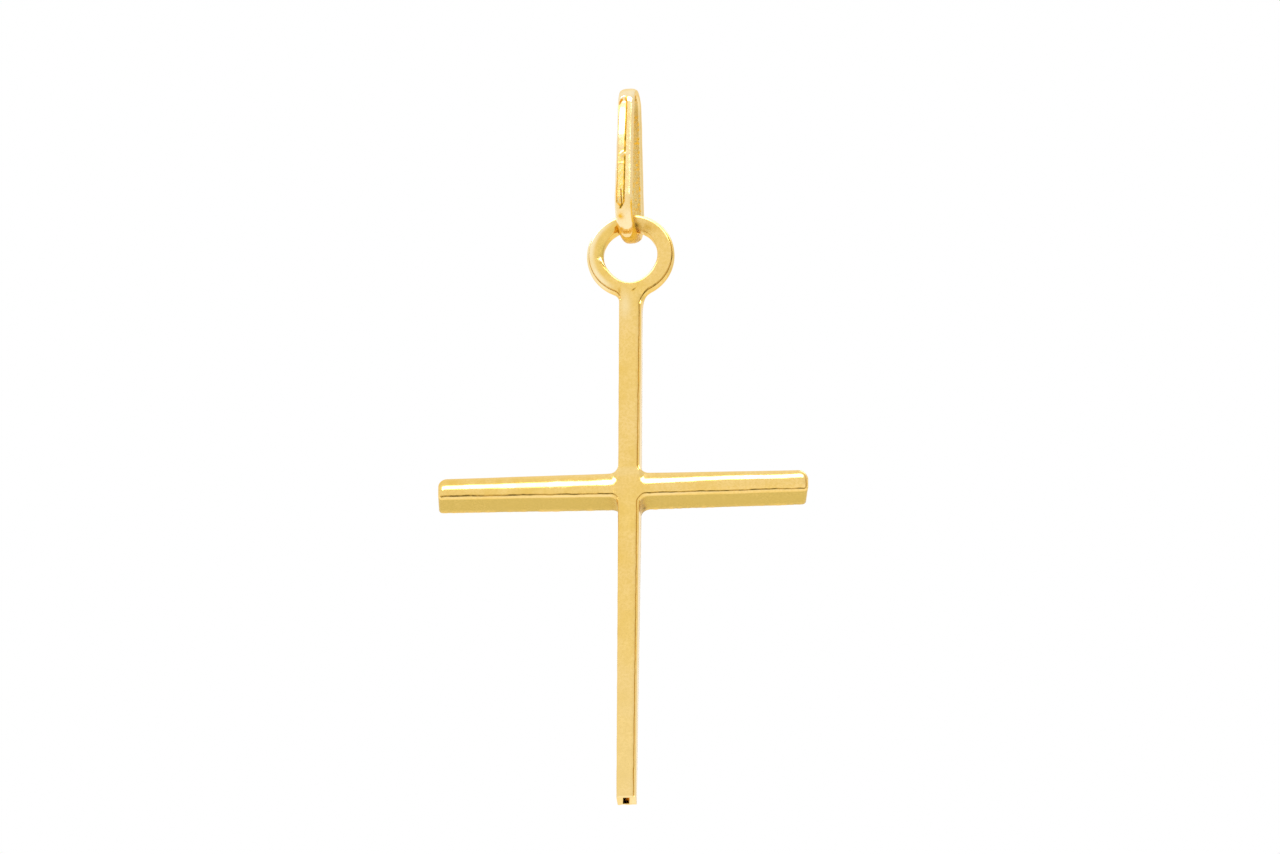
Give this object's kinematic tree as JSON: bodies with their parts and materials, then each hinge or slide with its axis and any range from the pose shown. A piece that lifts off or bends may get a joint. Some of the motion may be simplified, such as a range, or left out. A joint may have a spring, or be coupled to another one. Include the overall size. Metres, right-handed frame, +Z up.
{
  "type": "cross pendant",
  "caption": "Slim polished gold cross with a domed front and an eye ring, hanging free from a narrow loop bail that a chain runs through.",
  "frame": {"origin": "the chain seat: the lowest point of the inside of the bail's top bend, where a chain carries the pendant", "axes": "+Z up along the hanging pendant, +X along the arms, -Y towards the domed front"},
  "size_m": [0.0159, 0.003, 0.033],
  "materials": {
    "bail_gold": "polished yellow gold, softly worn",
    "cross_gold": "polished yellow gold with fine scratches"
  },
  "bodies": {
    "bail": {"bail": "bail_gold"},
    "cross": {"cross": "cross_gold"}
  },
  "joints": [
    {"name": "cross_swing", "type": "hinge", "parent": "bail", "child": "cross", "pos_m": [0, 0, -0.00585], "axis": [1, 0, 0], "range_deg": [-120, 120]}
  ]
}
